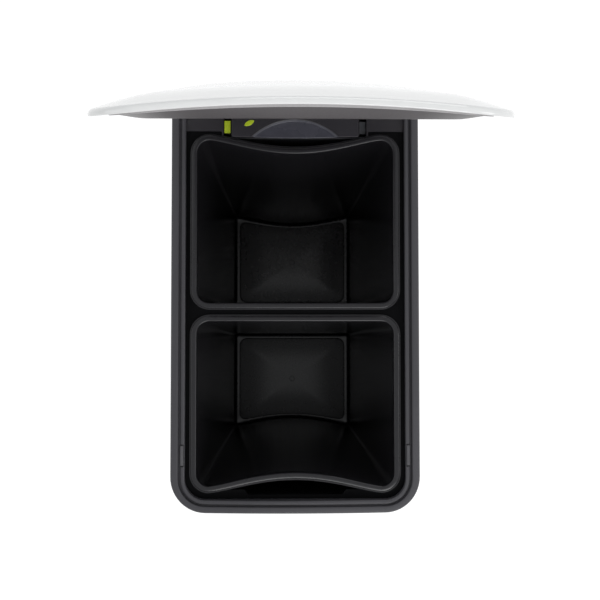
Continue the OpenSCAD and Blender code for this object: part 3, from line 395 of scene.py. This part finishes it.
# ---- rim bumpers ----
# Two soft pads are pressed into seats in the ridge; the lid closes on them.
# A thin gap shows at both ends of each pad.
pad_points, pad_faces = block_shapes([((134.3, bumper_y0 + 1.3, 889), (138.4, bumper_y1 - 1.3, 893.4)),
                                      ((-138.4, bumper_y0 + 1.3, 889), (-134.3, bumper_y1 - 1.3, 893.4))])
# Softer rubber than the feet, greyed by wear on its top.
pad_rubber = surface("grey bumper rubber", "#5a595c", "#4b4a4d", 0.6, 1.3, 0.03, cloud=15)
bumpers = make_piece("bumper_pads", pad_points, pad_faces, pad_rubber, "body",
                     ("rim_bumpers",))
rounded = bumpers.modifiers.new("rounded", "BEVEL")
rounded.width = 0.0008
rounded.segments = 3

# ---- bins ----
# Two deep buckets of black polypropylene, blow-smooth inside, tapered so that they nest.
# A flat stepped lip rests on the carrier, and one long side is hollowed for the fingers.
bin_w, bin_d, bin_r = 255.8, 215.5, 24.0
pad_inset, pad_r = 30, 13
hollow_x, hollow = 105.9, 15.6
foot_z = 330.8
floor_z = foot_z + 2


def bin_plan(inset, more):
    """A bin's outline moved in by inset: a rounded rectangle whose +Y side is pushed in by
    hollow plus more, times one less u squared to the power 1.5, with u = x over hollow_x,
    and in proportion to y, so that the hollow fades out towards the middle."""
    hx, hy = bin_w / 2 - inset, bin_d / 2 - inset
    r = max(bin_r - inset, 6) if inset < pad_inset else pad_r
    ring = plan(hx, -hy, hy, r, r, arc=10, along=48)
    u = np.minimum(np.abs(ring[:, 0]) / hollow_x, 1)
    ring[:, 1] -= np.where(ring[:, 1] > 0, (hollow + more) * (1 - u * u) ** 1.5 * ring[:, 1] / hy, 0)
    return ring


def bin_ring(inset, more, z, back=0.0):
    """The outline at a height, moved back."""
    return lift(bin_plan(inset, more) - (0, back), z)


# inset, deeper hollow, height, shift: up the outside, over the lip, down the inside, over the pad
outside = [(27, -2, foot_z, 4), (25.2, -2, foot_z + 0.5, 4), (23.6, -2, foot_z + 2, 4),
           (23, -2, foot_z + 4, 4)]
lip = [(6, 0, 886.8, 0), (0, 0, 886.8, 0), (0, 0, 888.3, 0), (0.3, 0.1, 888.7, 0), (1.5, 0.2, 888.8, 0),
       (1.7, 0.3, 889.7, 0), (2.1, 0.35, 890.4, 0), (2.9, 0.4, 890.8, 0), (7.0, 0.6, 890.8, 0),
       (7.8, 0.7, 890.6, 0), (8.3, 0.8, 890.2, 0), (8.5, 1, 889.4, 0)]
wall = [(8.5 + 17 * t, 1 - 2 * t, 889.4 + (336.8 - 889.4) * t, 4 * t) for t in (0.02, 0.25, 0.5, 0.75, 1)]
floor_line = [(26.1, -1, 335.2, 4), (27.4, -1, 333.9, 4), (29.5, -1, 333.0, 4), (33.3, -3, floor_z, 4),
              (33.6, -3, floor_z + 2.2, 4), (34.2, -3, floor_z + 2.8, 4), (35.2, -3, floor_z + 3, 4)]
bin_rings = [bin_ring(*row) for row in outside + lip + wall + floor_line]
# a shallow round gate mark in the middle of the pad
pad = bin_rings[-1]
middle = np.array((0, (pad[:, 1].min() + pad[:, 1].max()) / 2, 0))
spokes = np.arctan2(pad[:, 1] - middle[1], pad[:, 0])
for radius, z in ((5.0, 0), (4.7, 0.35), (4.1, 0.35), (3.8, -0.2)):
    circle = np.column_stack((radius * np.cos(spokes), middle[1] + radius * np.sin(spokes)))
    bin_rings.append(lift(circle, floor_z + 3 + z))
bin_points, bin_faces = strips(bin_rings)
# Black polypropylene: near-black, half gloss, with soft flow marks.
bin_plastic = surface("black polypropylene", "#222124", "#1e1d20", 0.22, 9.0, 0.006, cloud=220, swing=0.02)
for name, centre, way in (("front_bin", -118.45, -1), ("rear_bin", 102.55, 1)):
    make_piece(name + "_bucket", bin_points * (way, way, 1) + (0, centre, 0), bin_faces,
               bin_plastic, name, (name,), sharp=40)

# ---- filter flap ----
# A moulded flap covers the filter. A scoop in its front edge takes a fingertip: it drops
# sharply behind a raised bead, then runs up again to the front of a shallow tab.
flap_x, flap_front, flap_back, flap_z, flap_t = 77.0, 206.0, 231.0, 892.3, 3.5
tab_x, tab_out, dish_d = 54.5, 1.6, 22.6
tab_r = (tab_x ** 2 + tab_out ** 2) / (2 * tab_out)
dish_r = (tab_x ** 2 + dish_d ** 2) / (2 * dish_d)
dish_y = flap_front - tab_out + dish_d - dish_r
ease = np.array((0, 0.08, 0.3, 0.7))


def eased_steps(a, b, parts):
    """Steps from a to b that crowd at both ends, where the edge is rounded."""
    return np.concatenate((a + ease, np.linspace(a + 1.2, b - 1.2, parts), (b - ease)[::-1]))


def edge_drop(distance, r=0.7):
    """How far a rounded edge of radius r drops at a distance from the edge: a quarter circle."""
    s = np.clip(1 - distance / r, 0, 1)
    return r * (1 - np.sqrt(1 - s * s))


across = eased_steps(-flap_x, flap_x, 190)
share = eased_steps(0, 30, 70) / 30
rear_bin_y = 102.55
room_u = np.minimum(np.abs(across) / hollow_x, 1)
bin_edge = rear_bin_y + bin_d / 2 - hollow * (1 - room_u ** 2) ** 1.5 + 1.3
tab_edge = flap_front - tab_out + tab_r - np.sqrt(tab_r ** 2 - np.minimum(across ** 2, tab_x ** 2))
front_edge = np.maximum(np.where(np.abs(across) < tab_x, tab_edge, flap_front), bin_edge)
X = np.broadcast_to(across[:, None], (len(across), len(share)))
Y = front_edge[:, None] + share * (flap_back - front_edge[:, None])
depth_in = dish_r - np.hypot(X, Y - dish_y)
scoop = (1.9 * np.sin(np.clip(depth_in / 2.2, 0, 1) * math.pi / 2) ** 2
         * (1 - 0.62 * np.clip(depth_in / dish_d, 0, 1)))
bead = 0.35 * np.exp(-((depth_in + 0.7) / 0.55) ** 2)
at_side = edge_drop(flap_x - np.abs(X))
at_ends = edge_drop(np.minimum(Y - front_edge[:, None], flap_back - Y))
top = np.stack((X, Y, flap_z - 0.35 - scoop + bead - np.maximum(at_side, at_ends)), -1)
under = np.stack((X, Y, np.full_like(X, flap_z - flap_t)), -1)
count = X.size
k = np.arange(count).reshape(X.shape)
quads = np.stack((k[:-1, :-1], k[1:, :-1], k[1:, 1:], k[:-1, 1:]), -1).reshape(-1, 4)
border = np.concatenate((k[:, 0], k[-1, 1:], k[-2::-1, -1], k[0, -2:0:-1]))
after = np.roll(border, -1)
flap_faces = np.concatenate((quads, quads[:, ::-1] + count,
                             np.stack((border, border + count, after + count, after), -1))).tolist()
flap_points = np.concatenate((top.reshape(-1, 3), under.reshape(-1, 3)))
# two hinge ears under the rear edge, each a web and an eye round the pin
pin_y, pin_z, pin_r, eye_r = 234.0, 885.8, 1.7, 3.0
turn_a = np.linspace(0, 2 * math.pi, 32, endpoint=False)
for x0, x1 in ((64, 71), (-71, -64)):
    web, web_faces = block_shapes([((x0, 228, pin_z + 2.2), (x1, 233.2, flap_z - 1.2))])
    eye = [np.column_stack((np.full(32, x), pin_y + r * np.cos(turn_a), pin_z + r * np.sin(turn_a)))
           for x, r in ((x0, pin_r), (x0, eye_r - 0.3), (x0 + 0.3, eye_r), (x1 - 0.3, eye_r),
                        (x1, eye_r - 0.3), (x1, pin_r))]
    eye_points, eye_faces = strips(eye, closed=True)
    for extra, extra_faces in ((web, web_faces), (eye_points, eye_faces)):
        flap_faces += (np.array(extra_faces) + len(flap_points)).tolist()
        flap_points = np.concatenate((flap_points, extra))
# Same ABS family as the deck. The scoop is polished in the tool to a half gloss; its lighter blue-grey
# colour is a painted reflection of the light above it.
flap_abs = surface("charcoal flap ABS", "#2c2a2f", "#27252a", 0.40, 1.6, 0.025, cloud=60)
scoop_reflection_abs = surface("polished ABS, painted blue-grey reflection", "#4a4a53", "#414149", 0.26, 6.0, 0.008, cloud=40)
flap = make_piece("flap_moulding", flap_points, flap_faces, flap_abs, "filter_flap",
                  ("filter_flap",), sharp=50)
flap.data.materials.append(scoop_reflection_abs)
# the faces inside the scoop take the colour with the painted reflection
middles = np.zeros(len(flap.data.polygons) * 3)
flap.data.polygons.foreach_get("center", middles)
middles = middles.reshape(-1, 3) * 1000
in_scoop = (np.hypot(middles[:, 0], middles[:, 1] - dish_y) < dish_r - 0.4) & (middles[:, 2] > flap_z - 3)
flap.data.polygons.foreach_set("material_index", in_scoop.astype(int))

# ---- leaf mark ----
# A plain lime inlay, pointed at both ends, is pressed into the flap's left rear corner.
# It is a colour mark only, with no lettering.
leaf_t = np.linspace(0, 2 * math.pi, 64, endpoint=False)
leaf_x, leaf_y = 6.6 * np.cos(leaf_t), 3.0 * np.sin(leaf_t) * np.abs(np.sin(leaf_t)) ** 0.45
lean = math.radians(28)
leaf = np.stack((-56.0 + leaf_x * math.cos(lean) - leaf_y * math.sin(lean),
                 222.6 + leaf_x * math.sin(lean) + leaf_y * math.cos(lean)), 1)
leaf_middle = leaf.mean(0)
leaf_rings = [lift(leaf_middle + (leaf - leaf_middle) * s, flap_z - 0.35 + h)
              for s, h in ((1, -0.4), (1, 0.1), (0.94, 0.24), (0.8, 0.3))]
leaf_points, leaf_faces = strips(leaf_rings)
make_piece("leaf_inlay", leaf_points, leaf_faces, lime_abs, "filter_flap")

# ---- lid ----
# The lid is one gloss white ABS moulding that overhangs the body: a thin upright lip, a
# rounded shoulder and an arched roof. It is drawn closed, then swung open about its hinge.
lid_open = math.radians(74)
hinge_y, hinge_z = 257.0, 902.0
lid_wall, lid_edge, lid_gap, lid_lip, lid_swell, lid_core = 2.5, 4.0, 0.8, 1.6, 6.4, 146.0
lid_rise = 2.8
shoulder_z = lid_gap + lid_lip


def swung(points):
    """Points turned back about the hinge's line, from closed to open."""
    y, z = points[:, 1] - hinge_y, points[:, 2] - hinge_z
    c, s = math.cos(lid_open), -math.sin(lid_open)
    return np.column_stack((points[:, 0], hinge_y + c * y - s * z, hinge_z + s * y + c * z))


def lid_ring(inset, h):
    """The lid's plan moved in by inset, laid on the arch at height h."""
    ring = plan(155 - inset, inset - 253, 253 - inset, max(47 - inset, 4), max(23 - inset, 4), along=40)
    return arch(ring, h)


def roof(t, drop):
    """A ring of the roof, from the shoulder at 0 to the crown at 1: it swells by a quarter sine
    that is complete at one over lid_rise."""
    swell = lid_swell * math.sin(math.pi / 2 * min(1, lid_rise * t))
    return lid_ring(lid_edge + t * lid_core, shoulder_z + lid_edge - drop + swell)


crown = (1, 0.75, 0.5, 0.36, 0.33, 0.3, 0.26, 0.22, 0.18, 0.14, 0.1, 0.06, 0.03)
quarter = np.radians(np.linspace(90, 0, 11))
inner_r = lid_edge - lid_wall
lid_rings = [roof(t, 0) for t in crown]
lid_rings += [lid_ring(lid_edge * (1 - math.cos(a)), shoulder_z + lid_edge * math.sin(a)) for a in quarter]
lid_rings += [lid_ring(e, lid_gap + h) for e, h in ((0, 0.7), (0.2, 0.25), (0.6, 0), (1.9, 0), (2.3, 0.25),
                                                   (2.5, 0.7))]
lid_rings += [lid_ring(lid_wall + inner_r * (1 - math.cos(a)), shoulder_z + inner_r * math.sin(a))
              for a in quarter[::-2]]
lid_rings += [roof(t, lid_wall) for t in crown[::-1]]
lid_points, lid_faces = strips(lid_rings)
# Gloss ABS from a polished tool: clear reflections and a very slight ripple.
lid_abs = surface("gloss white ABS", "#f0f0ef", "#ececeb", 0.16, 9.0, 0.012, cloud=220, swing=0.03,
                  IOR=1.54, **{"Coat Weight": 0.25, "Coat Roughness": 0.06})
lid = make_piece("lid_moulding", swung(lid_points), lid_faces, lid_abs, "lid",
                 ("lid_shell",), sharp=40)
carve(lid, [((72, 246, 890), (104, 254, 912)), ((-104, 246, 890), (-72, 254, 912))], sharp=40, turn=swung)

# ---- lid seal ----
# A rubber seal is pressed round the pan's root; its pale grey is painted shade, the tone of the strip under
# the lip that faces away from the lamps.
# When the lid is shut it closes over the ridge at the front and in the groove at the sides. It is deepest
# in the middle of the front.
pan_in, pan_slope, pan_t, pan_z, pan_back = 15.0, 19.0, 2.0, 894.0, 204.3
seal_rings = []
for e, h, deep in ((14.7, 1.4, 0), (14.7, -0.1, 0.9), (14.95, -0.3, 1), (15.95, -0.3, 1), (16.2, -0.1, 0.9),
                   (16.2, 1.4, 0)):
    ring = plan(155 - e, e - 253, pan_back - e, 47 - e, 6, along=40)
    seal_rings.append(arch(ring, h - deep * 1.3 * (1 - (ring[:, 0] / 141) ** 2)))
seal_points, seal_faces = strips(seal_rings, closed=True)
# Thermoplastic rubber, matt and slightly warm; its pale grey is painted shade.
seal_shade_rubber = surface("seal rubber, painted shade grey", "#b9b6b7", "#aeabac", 0.55, 1.4, 0.02, cloud=30)
make_piece("lid_seal", swung(seal_points), seal_faces, seal_shade_rubber, "lid", sharp=40)

# ---- lid pan ----
# A grey moulded pan is clipped under the roof. Its sloping sides drop below the lip to a
# level floor, and catch what splashes up from the bins.
pan_foot = pan_in + pan_slope
under_roof = (shoulder_z + lid_edge - lid_wall - 0.3
              + lid_swell * math.sin(math.pi / 2 * lid_rise * (pan_in - lid_edge) / lid_core))


def pan_ring(inset, slope, rise):
    """The pan's plan moved in by inset. Its height goes from the arched lip at slope 0 to the
    level floor at slope 1, plus rise."""
    ring = plan(155 - inset, inset - 253, pan_back - inset, max(47 - inset, 4), 6, along=40)
    brim = arch(ring, lid_gap)[:, 2]
    return lift(ring, brim + slope * (pan_z - brim) + rise)


pan_rings = [pan_ring(*row) for row in (
    (149, 1, 0), (90, 1, 0), (pan_foot + 4, 1, 0), (pan_foot + 2, 1, 0.1), (pan_foot + 0.5, 1, 0.4),
    (pan_foot - 1, 0.92, 0.1), (pan_in + 2, 0.1, 0), (pan_in + 0.8, 0.04, 0), (pan_in + 0.15, 0, 0.6),
    (pan_in, 0, 1.6), (pan_in, 0, under_roof - lid_gap), (pan_in + pan_t, 0, under_roof - lid_gap),
    (pan_in + pan_t, 0, 1.6), (pan_foot + 1, 1, pan_t), (90, 1, pan_t), (149, 1, pan_t))]
pan_points, pan_faces = strips(pan_rings)
# Warm grey ABS with a fine satin grain.
pan_abs = surface("warm grey satin ABS", "#545052", "#4c484a", 0.38, 1.8, 0.02, cloud=110)
make_piece("lid_tray", swung(pan_points), pan_faces, pan_abs, "lid", ("lid_pan",), sharp=40)

# ---- hinges ----
# Black painted steel leaves under the roof turn on plated headed pins between pairs of ears.
black_paint = surface("black dipped paint", "#232325", "#1c1c1e", 0.45, 4.0, 0.03, cloud=45, swing=0.08)
dress(black_paint, "lid_hinge_leaves", "hinge_brackets", edge=0.4)
dress(zinc_plate, "hinge_pins", edge=0.3)

bpy.context.view_layer.update()
